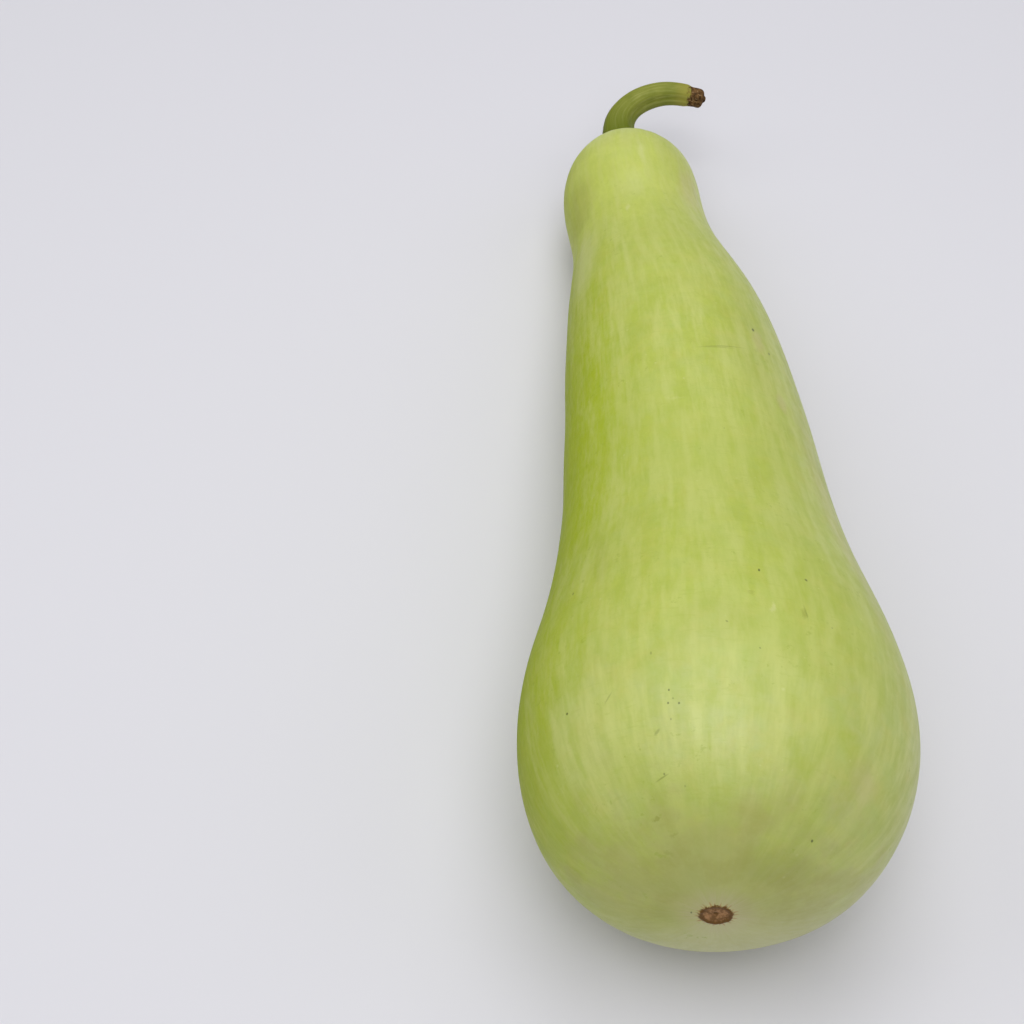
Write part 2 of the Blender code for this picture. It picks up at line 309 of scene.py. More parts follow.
def grown_body():
    """The skin as (ring, side) arrays.

    The axis is a curve that bends in X and falls in Z. Rings of the section radius stand square to it. A
    ring's radius is widened by three lobes and by soft unevenness. Near the blossom pole each ring is pushed
    along the axis by the relief of the scar, and near the stem it runs flat into the seat. What would be
    below the table is pressed flat on it.
    """
    rng = np.random.default_rng(FRUIT_SEED)
    turns = np.linspace(0, math.pi, TABLE_POINTS)
    stations = FRUIT_LENGTH * (1 - np.cos(turns)) / 2
    section_turns = [math.acos(1 - 2 * station / FRUIT_LENGTH) for station, _ in SECTIONS]
    section_radii = [0.0, *(radius for _, radius in SECTIONS), 0.0]
    radii = natural_spline([0.0, *section_turns, math.pi], section_radii)(turns)
    walked = np.concatenate([[0.0], np.cumsum(np.hypot(np.diff(stations), np.diff(radii)))])

    from_end = walked[-1] - walked
    step = END_RING_STEP + STEP_GROWTH * np.maximum(walked - END_STRETCH, 0)
    step = np.minimum(MIDDLE_RING_STEP, step)
    step = np.minimum(step, SEAT_RING_STEP + STEP_GROWTH * np.maximum(from_end - SEAT_STRETCH, 0))
    count = np.concatenate([[0.0], np.cumsum(np.diff(walked) / step[1:])])
    distance = np.interp(np.arange(1, int(count[-1])), count, walked)
    station = np.interp(distance, walked, stations)[:, None]
    radius = np.interp(distance, walked, radii)[:, None]
    distance = distance[:, None]
    angle = (2 * math.pi * np.arange(FRUIT_SIDES) / FRUIT_SIDES)[None, :]

    ragged = 1 + SCAR_RAGGED_SHARE * lumps(rng, *SCAR_RAGGED, angle, distance)
    ring = np.exp(-(((distance - SCAR_RING_RADIUS) / SCAR_RING_HALF_WIDTH) ** 2))
    ring = SCAR_RING_HEIGHT * ragged * ring
    sunk = SCAR_SINK * (1 - smooth_step(STYLE_PIT_RADIUS, SCAR_RING_RADIUS, distance))
    pit = STYLE_PIT_DEPTH * np.exp(-((distance / STYLE_PIT_RADIUS) ** 2))
    grain = SCAR_GRAIN * lumps(rng, *SCAR_GRAINY, angle, distance)
    grain = grain * (1 - smooth_step(*SCAR_GRAIN_EDGE, distance))
    relief = (ring - sunk - pit + grain) * (distance < SCAR_REACH)
    seat = 1 - smooth_step(SEAT_RADIUS, SEAT_SHOULDER_RADIUS, radius)
    seat = seat * (station > KNOB_STATION)
    station = station + (SEAT_STATION - station) * seat

    widest = max(section for _, section in SECTIONS)
    lobe = LOBE_SHARE * (radius / widest) ** 2 * np.sin(math.pi * np.clip(station / FRUIT_LENGTH, 0, 1))
    fade = smooth_step(*SMOOTH_NEAR_SCAR, distance)
    fade = fade * smooth_step(*SMOOTH_NEAR_SEAT, walked[-1] - distance)
    uneven = SOFT_HEIGHT * lumps(rng, *BODY_SOFT, angle, distance)
    uneven = uneven + RIPPLE_HEIGHT * lumps(rng, *BODY_RIPPLED, angle, distance)
    out = radius * (1 + lobe * np.cos(LOBES * (angle - LOBE_TURN))) + uneven * fade

    centre, along, right, up = axis_frame(station[:, 0])
    points = ring_points(centre, right, up, out, angle)
    points = points - along[:, None] * relief[..., None]
    points[..., 2] = np.maximum(points[..., 2], 0.0)
    poles = centre[0] - along[0] * relief[0].mean(), centre[-1]
    return points, poles, tube_coordinates(GROWN_RADIUS, angle, distance)


def closed_tube(name, points, poles, grown):
    """A mesh through rings of points, closed on a pole at each end, with its grown coordinates."""
    rings, sides = points.shape[:2]
    index = np.arange(rings * sides).reshape(rings, sides)
    after = np.roll(index, -1, axis=1)
    walls = np.stack([index[:-1], index[1:], after[1:], after[:-1]], axis=-1).reshape(-1, 4)
    first, last = rings * sides, rings * sides + 1
    start = np.stack([np.full(sides, first), index[0], after[0]], axis=-1)
    end = np.stack([np.full(sides, last), after[-1], index[-1]], axis=-1)
    mesh = bpy.data.meshes.new(name)
    vertices = np.concatenate([points.reshape(-1, 3), poles])
    mesh.from_pydata(vertices.tolist(), [], [*walls.tolist(), *start.tolist(), *end.tolist()])
    mesh.shade_smooth()
    pole_coordinates = np.stack([grown[0].mean(axis=0), grown[-1].mean(axis=0)])
    coordinates = np.concatenate([grown.reshape(-1, 3), pole_coordinates]).astype(np.float32)
    attribute = mesh.attributes.new("grown", "FLOAT_VECTOR", "POINT")
    attribute.data.foreach_set("vector", coordinates.ravel())
    return mesh


skin_points, skin_poles, skin_grown = grown_body()
cad_low, cad_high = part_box("fruit")
place = np.array([
    (cad_low.x + cad_high.x) / 2 - (skin_points[..., 0].min() + skin_points[..., 0].max()) / 2,
    cad_low.y - skin_points[..., 1].min(),
    0.0,
])
skin_points = skin_points + place
skin_poles = [pole + place for pole in skin_poles]
fruit_mesh = closed_tube("gourd_fruit", skin_points, skin_poles, skin_grown)
fruit = bpy.data.objects.new("gourd_fruit", fruit_mesh)
bpy.context.scene.collection.objects.link(fruit)


def new_group(name, inputs, outputs):
    """A shader node group with those sockets: its tree, and its own input and output nodes."""
    group = bpy.data.node_groups.new(name, "ShaderNodeTree")
    for direction, sockets in (("INPUT", inputs), ("OUTPUT", outputs)):
        for socket, kind in sockets:
            group.interface.new_socket(name=socket, in_out=direction, socket_type=kind)
    return group, group.nodes.new("NodeGroupInput"), group.nodes.new("NodeGroupOutput")


def placed_group(tree, group, sockets):
    """The group in a material, with its own values."""
    return shader_node(tree, "ShaderNodeGroup", sockets, node_tree=group).outputs[0]


def ramp(tree, value, low, high, to_low=0.0, to_high=1.0):
    """A value carried smoothly from one range to another."""
    node = shader_node(tree, "ShaderNodeMapRange", (
        ("Value", value), ("From Min", low), ("From Max", high), ("To Min", to_low), ("To Max", to_high),
    ), interpolation_type="SMOOTHSTEP")
    return node.outputs["Result"]


def maths(tree, operation, first, second=0.0):
    """One sum on values."""
    return shader_node(tree, "ShaderNodeMath", ((0, first), (1, second)), operation=operation).outputs[0]


def product(tree, first, *others):
    """The values multiplied together, from left to right."""
    for other in others:
        first = maths(tree, "MULTIPLY", first, other)
    return first


def vector_maths(tree, operation, first, second):
    """One sum on vectors."""
    node = shader_node(tree, "ShaderNodeVectorMath", ((0, first), (1, second)), operation=operation)
    return node.outputs["Value" if operation == "DOT_PRODUCT" else "Vector"]


def tinted(tree, share, first, second):
    """The first colour turned into the second by a share."""
    node = shader_node(tree, "ShaderNodeMix", ((0, share), (6, first), (7, second)), data_type="RGBA")
    return node.outputs[2]


def noise(tree, vector, scale, detail=2.0, roughness=0.5, output="Fac"):
    """Plain noise, about one feature in each 1/scale metres."""
    node = shader_node(tree, "ShaderNodeTexNoise", (
        ("Vector", vector), ("Scale", scale), ("Detail", detail), ("Roughness", roughness),
    ))
    return node.outputs[output]


STREAK_NOISE = (1.0, 3.0, 0.6)
STREAK_SPREAD = (0.30, 0.70)


def growth_streaks_group():
    """Streaks that run along the growth: noise drawn out lengthwise, fine on coarse, from 0 to 1."""
    group, given, result = new_group(
        "growth_streaks",
        (("Grown", "NodeSocketVector"), ("Across", "NodeSocketFloat"), ("Along", "NodeSocketFloat")),
        (("Streaks", "NodeSocketFloat"),),
    )
    stretch = shader_node(group, "ShaderNodeCombineXYZ", (
        ("X", given.outputs["Across"]), ("Y", given.outputs["Across"]), ("Z", given.outputs["Along"]),
    ))
    drawn = vector_maths(group, "MULTIPLY", given.outputs["Grown"], stretch.outputs["Vector"])
    spread = shader_node(group, "ShaderNodeMapRange", (
        ("Value", noise(group, drawn, *STREAK_NOISE)),
        ("From Min", STREAK_SPREAD[0]), ("From Max", STREAK_SPREAD[1]),
    ))
    group.links.new(spread.outputs["Result"], result.inputs["Streaks"])
    return group


def specks_group():
    """Scattered specks: round marks in some cells of a random net. Share is how many cells have one."""
    group, given, result = new_group(
        "specks",
        (("Vector", "NodeSocketVector"), ("Cells", "NodeSocketFloat"), ("Size", "NodeSocketFloat"),
         ("Share", "NodeSocketFloat")),
        (("Mask", "NodeSocketFloat"),),
    )
    cells = shader_node(group, "ShaderNodeTexVoronoi", (
        ("Vector", given.outputs["Vector"]), ("Scale", given.outputs["Cells"]),
    ))
    split = shader_node(group, "ShaderNodeSeparateColor", (("Color", cells.outputs["Color"]),))
    chosen = maths(group, "LESS_THAN", split.outputs["Red"], given.outputs["Share"])
    varied = maths(group, "MULTIPLY", given.outputs["Size"], split.outputs["Green"])
    near = ramp(group, cells.outputs["Distance"], varied, 0.0)
    group.links.new(maths(group, "MULTIPLY", near, chosen), result.inputs["Mask"])
    return group


growth_streaks = growth_streaks_group()
specks = specks_group()

SKIN_DEEP = (0.410, 0.490, 0.064, 1.0)
SKIN_MID = (0.495, 0.566, 0.092, 1.0)
SKIN_WAX = (0.590, 0.630, 0.185, 1.0)
SKIN_WARM = (0.560, 0.545, 0.125, 1.0)
SKIN_COOL = (0.450, 0.548, 0.140, 1.0)
# Painted shade: the deeper, greener green of the left flank stands in for shade on that side.
FLANK_PAINTED_SHADE = (0.392, 0.488, 0.002, 1.0)
# Painted light: the pale underside and right rim stand in for light bounced and reflected from the table.
BELLY_PAINTED_TABLE_LIGHT = (0.590, 0.590, 0.270, 1.0)
# Wax bloom on the bulb's top, partly a painted haze of the overhead highlight.
BLOOM_AND_PAINTED_HAZE = (0.468, 0.522, 0.188, 1.0)
SKIN_KNOB = (0.600, 0.665, 0.135, 1.0)
SKIN_END = (0.450, 0.445, 0.155, 1.0)
SKIN_OLIVE = (0.385, 0.385, 0.075, 1.0)
SKIN_FLECK = (0.330, 0.410, 0.030, 1.0)
SKIN_HALO = (0.560, 0.505, 0.265, 1.0)
CORK_TAN = (0.430, 0.225, 0.090, 1.0)
CORK_DARK = (0.140, 0.066, 0.012, 1.0)
CORK_EDGE = (0.420, 0.230, 0.055, 1.0)
MARK_COLOURS = {
    "speck": (0.095, 0.120, 0.018, 1.0),
    "scratch": (0.200, 0.240, 0.030, 1.0),
    "olive": (0.300, 0.320, 0.040, 1.0),
    "beige": (0.560, 0.480, 0.230, 1.0),
    "pale": (0.680, 0.690, 0.330, 1.0),
}
SKIN_MARKS = (
    # kind, distance from the scar over the skin, angle round the axis, half width and length, tilt, strength
    ("speck", 0.0689, 107.8, 0.00032, 0.00038, -4, 0.80),
    ("speck", 0.0666, 106.8, 0.00026, 0.00031, -4, 0.50),
    ("speck", 0.0655, 108.3, 0.00034, 0.00039, -5, 0.80),
    ("speck", 0.0652, 105.2, 0.00034, 0.00039, -4, 0.80),
    ("speck", 0.0613, 107.9, 0.00026, 0.00036, -6, 0.50),
    ("speck", 0.0714, 140.4, 0.00048, 0.00043, -15, 0.90),
    ("speck", 0.0353, 47.9, 0.00043, 0.00061, 45, 0.90),
    ("speck", 0.1114, 81.1, 0.00040, 0.00074, -7, 0.90),
    ("speck", 0.1117, 66.4, 0.00058, 0.00063, 18, 0.70),
    ("speck", 0.2442, 53.5, 0.00069, 0.00114, -14, 0.90),
    ("speck", 0.2339, 47.0, 0.00055, 0.00105, -16, 0.60),
    ("speck", 0.1160, 138.6, 0.00047, 0.00080, 11, 0.50),
    ("speck", 0.0066, 179.8, 0.00032, 0.00060, -88, 0.80),
    ("speck", 0.0894, 91.8, 0.00033, 0.00049, 52, 0.50),
    ("speck", 0.0820, 83.0, 0.00032, 0.00038, 46, 0.50),
    ("speck", 0.0800, 112.1, 0.00033, 0.00060, -2, 0.40),
    ("speck", 0.0440, 106.1, 0.00031, 0.00039, -9, 0.30),
    ("scratch", 0.0469, 113.7, 0.00026, 0.00236, -68, 0.55),
    ("speck", 0.0478, 112.6, 0.00034, 0.00040, 0, 0.60),
    ("scratch", 0.0702, 125.6, 0.00030, 0.00211, -46, 0.35),
    ("scratch", 0.2271, 75.8, 0.00036, 0.01084, -76, 0.40),
    ("scratch", 0.2262, 77.0, 0.00030, 0.00700, -80, 0.30),
    ("scratch", 0.0981, 68.9, 0.00036, 0.00285, 10, 0.35),
    ("scratch", 0.0585, 112.5, 0.00048, 0.00120, -48, 0.50),
    ("olive", 0.0367, 120.7, 0.00065, 0.00176, -86, 0.60),
    ("olive", 0.0312, 116.0, 0.00057, 0.00173, -82, 0.35),
    ("olive", 0.0261, 123.5, 0.00080, 0.00240, 38, 0.35),
    ("olive", 0.0973, 69.9, 0.00117, 0.00237, 16, 0.45),
    ("olive", 0.1017, 84.8, 0.00087, 0.00143, 45, 0.35),
    # Painted shade: a dark olive patch in the dent at the knob's left.
    ("olive", 0.3483, 150.0, 0.01100, 0.01700, -14, 0.34),
    ("olive", 0.0240, 52.0, 0.00820, 0.01350, -66, 0.32),
    ("olive", 0.1261, 129.8, 0.00366, 0.01603, 7, 0.15),
    # Painted shade along the neck's right side.
    ("olive", 0.2350, 55.0, 0.01200, 0.04000, -4, 0.11),
    ("olive", 0.0900, 95.0, 0.01400, 0.01100, 0, 0.14),
    ("olive", 0.3640, 52.0, 0.00900, 0.01800, 0, 0.10),
    ("beige", 0.2384, 52.4, 0.00305, 0.00851, -5, 0.35),
    ("beige", 0.2067, 48.1, 0.00288, 0.00614, -1, 0.35),
    # Painted sheen: a long pale tan band along the neck's right rim.
    ("beige", 0.1600, 35.0, 0.00800, 0.07000, 0, 0.20),
    ("beige", 0.0557, 42.6, 0.00565, 0.00899, 54, 0.30),
    ("beige", 0.3476, 44.9, 0.00700, 0.01958, -14, 0.34),
    ("pale", 0.0968, 78.8, 0.00112, 0.00226, -5, 0.35),
    ("pale", 0.3268, 106.5, 0.00119, 0.00315, -6, 0.35),
    # Painted reflection: a pale rim at the waist's left.
    ("pale", 0.3050, 147.0, 0.00900, 0.02600, 0, 0.34),
    ("pale", 0.0610, 138.0, 0.01300, 0.02200, 0, 0.15),
    ("pale", 0.1985, 100.3, 0.00061, 0.00384, 82, 0.14),
    ("pale", 0.3433, 97.2, 0.00600, 0.01300, -8, 0.20),
    ("pale", 0.3655, 85.2, 0.00166, 0.01121, 1, 0.30),
)
MARK_EDGE = (1.15, 0.35)
RAGGED_MARKS = ("olive", "beige", "pale")
CLEAN_MARKS = ("scratch", "speck")


def skin_mark_group():
    """One oval mark: 1 at its centre, 0 from its edge on. Across and Along are one over its half sizes."""
    group, given, result = new_group(
        "skin_mark",
        (("Grown", "NodeSocketVector"), ("Centre", "NodeSocketVector"), ("Across", "NodeSocketVector"),
         ("Along", "NodeSocketVector"), ("Outward", "NodeSocketVector"), ("Strength", "NodeSocketFloat")),
        (("Mask", "NodeSocketFloat"),),
    )
    away = vector_maths(group, "SUBTRACT", given.outputs["Grown"], given.outputs["Centre"])
    reach = shader_node(group, "ShaderNodeCombineXYZ", [
        (axis, vector_maths(group, "DOT_PRODUCT", away, given.outputs[direction]))
        for axis, direction in (("X", "Across"), ("Y", "Along"), ("Z", "Outward"))
    ])
    size = shader_node(group, "ShaderNodeVectorMath", ((0, reach.outputs["Vector"]),), operation="LENGTH")
    mask = ramp(group, size.outputs["Value"], *MARK_EDGE, 0.0, given.outputs["Strength"])
    group.links.new(mask, result.inputs["Mask"])
    return group


skin_mark = skin_mark_group()
ring_middles = skin_points.mean(axis=1, keepdims=True)
ring_radii = np.linalg.norm(skin_points - ring_middles, axis=2).mean(axis=1)


def marks_of(kind, tree, where):
    """The share of all the skin's marks of one kind."""
    share = None
    for name, distance, turned, half_width, half_length, tilt, strength in SKIN_MARKS:
        if name != kind:
            continue
        turned, tilt = math.radians(turned), math.radians(tilt)
        outward = np.array([math.cos(turned), math.sin(turned), 0.0])
        onward = np.array(UPRIGHT)
        real_size = float(np.interp(distance, skin_grown[:, 0, 2], ring_radii)) / GROWN_RADIUS
        round_way = np.array([-math.sin(turned), math.cos(turned), 0.0]) * real_size
        mask = placed_group(tree, skin_mark, (
            ("Grown", where),
            ("Centre", (outward * GROWN_RADIUS + onward * distance).tolist()),
            ("Across", ((round_way * math.cos(tilt) - onward * math.sin(tilt)) / half_width).tolist()),
            ("Along", ((round_way * math.sin(tilt) + onward * math.cos(tilt)) / half_length).tolist()),
            ("Outward", (outward / GROWN_RADIUS).tolist()),
            ("Strength", strength),
        ))
        share = mask if share is None else maths(tree, "MAXIMUM", share, mask)
    return share


# The streaks of the skin: noise turns in a metre across the growth and along it.
FINE_STREAKS = (680.0, 190.0)
BROAD_STREAKS = (210.0, 34.0)
MOTTLE = (300.0, 220.0)
WRINKLES = (170.0, 900.0)
RIPPLES = (90.0, 700.0)
FINE_PART = 0.22
BROAD_PART = 0.78
# The other noises: turns in a metre, detail, roughness.
TINTS = (105.0, 4.0, 0.6)
CLOUDS = (22.0, 3.0, 0.5)
GRAIN = (520.0, 3.0, 0.7)
BLOOM_PATCHES = (75.0, 3.0, 0.6)
END_PATCHES = (70.0, 4.0, 0.6)
BLOTCHES = (100.0, 4.0, 0.65)
RAYS = (230.0, 3.0, 0.6)
FLECK_FIELDS = (34.0, 2.0, 0.5)
FLECKS = (330.0, 4.0, 0.7)
WANDER = (230.0, 4.0, 0.7)
CORK = (560.0, 4.0, 0.75)
RING_RAGS = (900.0, 2.0, 0.5)
SPIKE_TURNS = (60.0, 2.0, 0.5)
SPIKE_SIZES = (140.0, 2.0, 0.5)
POROUS = (1100.0, 3.0, 0.6)
# Where each shade begins and where it is full, then its share at either place. Most are metres over the
# skin from the scar. UP is metres towards the top, and LEVEL is the level of the noise that draws the shade.
BLOOM_BEGINS = (0.022, 0.045)
BLOOM_ENDS = (0.108, 0.070)
BLOOM_UP = (0.010, 0.042)
BLOOM_LEVEL = (0.35, 0.65, 0.60, 1.0)
BLOOM_SHARE = 0.75
KNOB_BEGINS = (0.290, 0.350, 0.0, 0.85)
QUIET_TO_KNOB = (0.350, 0.210, 0.35, 1.0)
MOTTLE_LEVEL = (0.20, 1.0, 0.0, 0.50)
TINT_LEVEL = (0.42, 0.68)
TINT_SHARES = (("Red", 0.46, SKIN_WARM), ("Green", 0.50, SKIN_COOL), ("Blue", 0.62, SKIN_DEEP))
STREAK_LEVEL = (0.20, 0.95, 0.0, 0.80)
STREAKS_BEGIN = (0.012, 0.070, 0.20, 1.0)
STREAKS_FADE = (0.320, 0.200, 0.72, 1.0)
CLOUD_LEVEL = (0.40, 0.65, 0.0, 0.20)
GRAIN_LEVEL = (0.52, 0.75, 0.0, 0.20)
WRINKLE_LEVEL = (0.70, 1.00, 0.0, 0.28)
SHOULDER_BEGINS = (0.070, 0.108)
SHOULDER_ENDS = (0.235, 0.180)
SHOULDER_SHARE = 0.24
FLANK_RAGS = 0.012
FLANK_NARROWS = (0.170, 0.110, 0.0, 0.007)
FLANK_ACROSS = (-0.016, -0.040, 0.0, 0.92)
FLANK_STREAK_LEVEL = (0.10, 0.90, 1.0, 0.66)
FLANK_END_RAGS = 0.040
FLANK_ENDS = (0.345, 0.240)
FLANK_BEGINS = (0.030, 0.100, 0.15, 1.0)
BELLY_LEAN = 0.35
BELLY_DOWN = (0.014, -0.062, 0.0, 0.90)
END_RAGS = (0.3, 0.7, -0.014, 0.014)
END_ENDS = (0.053, 0.015)
END_UP = (-0.040, 0.000, 0.30, 1.0)
END_SHARE = 0.58
BLOTCH_LEVEL = (0.44, 0.66, 0.0, 0.42)
RAY_LEVEL = (0.35, 0.68, 0.55, 1.0)
HALO_ENDS = (0.015, 0.004, 0.0, 0.80)
FLECK_FIELD_LEVEL = (0.50, 0.62, 0.0, 0.45)
FLECK_LEVEL = (0.60, 0.68)
# Specks: cells in a metre, size of a speck in its cell, share of the cells that have one, strength.
PORES = (150.0, 0.07, 0.10, 0.6)
DOTS = (330.0, 0.24, 0.14, 0.35)
# How far noise moves the edges of the larger marks, from its middle value.
WANDER_MIDDLE = (0.5, 0.5, 0.5)
WANDER_REACH = (0.005, 0.005, 0.005)
# The scar: the spikes round its ring, its ragged ring and the cork inside.
SPIKES = 23.0
SPIKE_TURNS_BY = (0.2, 0.8, -2.5, 2.5)
SPIKE_SHARP = (0.05, 1.0)
SPIKE_LENGTHS = (0.3, 0.7, 0.0006, 0.0018)
SPIKES_FROM = 0.0046
SPIKE_EDGE = (-0.0004, 0.0006, 0.0, 0.75)
RING_RAGS_BY = (0.3, 0.7, -0.0003, 0.0003)
RING_OUTSIDE = (0.0050, 0.0044)
RING_INSIDE = (0.0038, 0.0030)
CORK_LEVEL = (0.42, 0.60, 0.0, 0.85)
STYLE_DOT = (0.0009, 0.0004)
# The gloss and the relief.
WAX_LEVEL = (0.0, 1.0, 0.20, 0.40)
BLOOM_WAX = 0.60
FLANK_WAX = (-0.044, -0.020)
SKIN_ROUGH = (0.0, 1.0, 0.42, 0.56)
CORK_ROUGHER = 0.35
RIPPLE_PART = 0.35
MOTTLE_PART = 0.5
SKIN_RELIEF = 0.0006
SKIN_RELIEF_STRENGTH = 0.10

skin, tree, shader = new_material(
    "gourd_skin", Subsurface_Weight=0.08, Subsurface_Radius=(0.8, 1.0, 0.3), Subsurface_Scale=0.004,
    Sheen_Weight=0.03, Sheen_Roughness=0.4, Specular_IOR_Level=0.35, Coat_Roughness=0.46,
)
grown = shader_node(tree, "ShaderNodeAttribute", attribute_name="grown").outputs["Vector"]
place_on = shader_node(tree, "ShaderNodeTexCoord").outputs["Object"]
parts = shader_node(tree, "ShaderNodeSeparateXYZ", (("Vector", grown),))
to_right, to_top, from_scar = (parts.outputs[axis] for axis in "XYZ")
round_about = vector_maths(tree, "MULTIPLY", grown, (1.0, 1.0, 0.0))
fine, broad, mottle, wrinkles, ripples = (
    placed_group(tree, growth_streaks, (("Grown", grown), ("Across", across), ("Along", along)))
    for across, along in (FINE_STREAKS, BROAD_STREAKS, MOTTLE, WRINKLES, RIPPLES)
)
streaked = maths(tree, "ADD", product(tree, fine, FINE_PART), product(tree, broad, BROAD_PART))

# The skin's ground colour, its wax bloom with a painted highlight haze, the knob, then mottling, tints,
# streaks.
bloom_and_haze = product(
    tree, ramp(tree, from_scar, *BLOOM_BEGINS), ramp(tree, from_scar, *BLOOM_ENDS),
    ramp(tree, to_top, *BLOOM_UP), ramp(tree, noise(tree, place_on, *BLOOM_PATCHES), *BLOOM_LEVEL),
)
colour = tinted(tree, product(tree, bloom_and_haze, BLOOM_SHARE), SKIN_MID, BLOOM_AND_PAINTED_HAZE)
colour = tinted(tree, ramp(tree, from_scar, *KNOB_BEGINS), colour, SKIN_KNOB)
quiet = ramp(tree, from_scar, *QUIET_TO_KNOB)
colour = tinted(tree, product(tree, ramp(tree, mottle, *MOTTLE_LEVEL), quiet), colour, SKIN_DEEP)
tints = shader_node(tree, "ShaderNodeSeparateColor", (("Color", noise(tree, place_on, *TINTS, "Color")),))
for channel, strength, tint in TINT_SHARES:
    tint_share = ramp(tree, tints.outputs[channel], *TINT_LEVEL, 0.0, strength)
    colour = tinted(tree, product(tree, tint_share, quiet), colour, tint)
streak_share = product(
    tree, ramp(tree, streaked, *STREAK_LEVEL), ramp(tree, from_scar, *STREAKS_BEGIN),
    ramp(tree, from_scar, *STREAKS_FADE),
)
colour = tinted(tree, streak_share, colour, SKIN_WAX)
colour = tinted(tree, ramp(tree, noise(tree, place_on, *CLOUDS), *CLOUD_LEVEL), colour, SKIN_DEEP)
grain_share = ramp(tree, noise(tree, place_on, *GRAIN), *GRAIN_LEVEL)
colour = tinted(tree, product(tree, grain_share, quiet), colour, SKIN_DEEP)
colour = tinted(tree, product(tree, ramp(tree, wrinkles, *WRINKLE_LEVEL), quiet), colour, SKIN_DEEP)
shoulder = product(tree, ramp(tree, from_scar, *SHOULDER_BEGINS), ramp(tree, from_scar, *SHOULDER_ENDS))
colour = tinted(tree, product(tree, shoulder, SHOULDER_SHARE), colour, SKIN_DEEP)

# Painted shade on the left flank, painted table light on the belly and right rim, the olive end and its
# halo.
flank_edge = maths(tree, "ADD", to_right, product(tree, streaked, FLANK_RAGS))
flank_edge = maths(tree, "ADD", flank_edge, ramp(tree, from_scar, *FLANK_NARROWS))
flank_end = maths(tree, "ADD", from_scar, product(tree, streaked, FLANK_END_RAGS))
flank_shade_share = product(
    tree, ramp(tree, flank_edge, *FLANK_ACROSS), ramp(tree, fine, *FLANK_STREAK_LEVEL),
    ramp(tree, flank_end, *FLANK_ENDS), ramp(tree, from_scar, *FLANK_BEGINS),
)
colour = tinted(tree, flank_shade_share, colour, FLANK_PAINTED_SHADE)
# Painted light: the belly and the right rim made paler, as if lit from the table below.
belly_edge = maths(tree, "SUBTRACT", to_top, product(tree, to_right, BELLY_LEAN))
colour = tinted(tree, ramp(tree, belly_edge, *BELLY_DOWN), colour, BELLY_PAINTED_TABLE_LIGHT)
end_edge = maths(tree, "ADD", from_scar, ramp(tree, noise(tree, place_on, *END_PATCHES), *END_RAGS))
end_share = product(tree, ramp(tree, end_edge, *END_ENDS), ramp(tree, to_top, *END_UP))
colour = tinted(tree, product(tree, end_share, END_SHARE), colour, SKIN_END)
blotches = ramp(tree, noise(tree, place_on, *BLOTCHES), *BLOTCH_LEVEL)
colour = tinted(tree, product(tree, end_share, blotches), colour, SKIN_OLIVE)
rays = ramp(tree, noise(tree, round_about, *RAYS), *RAY_LEVEL)
colour = tinted(tree, product(tree, ramp(tree, from_scar, *HALO_ENDS), rays), colour, SKIN_HALO)

# Flecks, pores and dots strewn over the skin, then the marks set one by one.
fleck_fields = ramp(tree, noise(tree, place_on, *FLECK_FIELDS), *FLECK_FIELD_LEVEL)
flecks = ramp(tree, noise(tree, place_on, *FLECKS), *FLECK_LEVEL)
colour = tinted(tree, product(tree, flecks, fleck_fields), colour, SKIN_FLECK)
for (cells, size, chosen, strength), kind in ((PORES, "speck"), (DOTS, "pale")):
    strewn = placed_group(tree, specks, (
        ("Vector", place_on), ("Cells", cells), ("Size", size), ("Share", chosen),
    ))
    colour = tinted(tree, product(tree, strewn, strength), colour, MARK_COLOURS[kind])
wander = vector_maths(tree, "SUBTRACT", noise(tree, place_on, *WANDER, "Color"), WANDER_MIDDLE)
wander = vector_maths(tree, "MULTIPLY", wander, WANDER_REACH)
ragged = vector_maths(tree, "ADD", grown, wander)
for kinds, where in ((RAGGED_MARKS, ragged), (CLEAN_MARKS, grown)):
    for kind in kinds:
        colour = tinted(tree, marks_of(kind, tree, where), colour, MARK_COLOURS[kind])

# The scar.
spike_turn = maths(tree, "ARCTAN2", to_top, to_right)
spike_shift = ramp(tree, noise(tree, round_about, *SPIKE_TURNS), *SPIKE_TURNS_BY)
spike_turn = maths(tree, "ADD", product(tree, spike_turn, SPIKES), spike_shift)
spikes = ramp(tree, maths(tree, "SINE", spike_turn), *SPIKE_SHARP)
spike_length = ramp(tree, noise(tree, round_about, *SPIKE_SIZES), *SPIKE_LENGTHS)
spike_reach = maths(tree, "ADD", product(tree, spikes, spike_length), SPIKES_FROM)
spiked = ramp(tree, maths(tree, "SUBTRACT", spike_reach, from_scar), *SPIKE_EDGE)
colour = tinted(tree, spiked, colour, CORK_EDGE)
ring_edge = maths(tree, "ADD", from_scar, ramp(tree, noise(tree, place_on, *RING_RAGS), *RING_RAGS_BY))
inside = ramp(tree, ring_edge, *RING_OUTSIDE)
cork = tinted(tree, ramp(tree, noise(tree, place_on, *CORK), *CORK_LEVEL), CORK_TAN, CORK_DARK)
scar_colour = tinted(tree, ramp(tree, ring_edge, *RING_INSIDE), CORK_DARK, cork)
scar_colour = tinted(tree, ramp(tree, from_scar, *STYLE_DOT), scar_colour, CORK_DARK)
colour = tinted(tree, inside, colour, scar_colour)
tree.links.new(colour, shader.inputs["Base Color"])

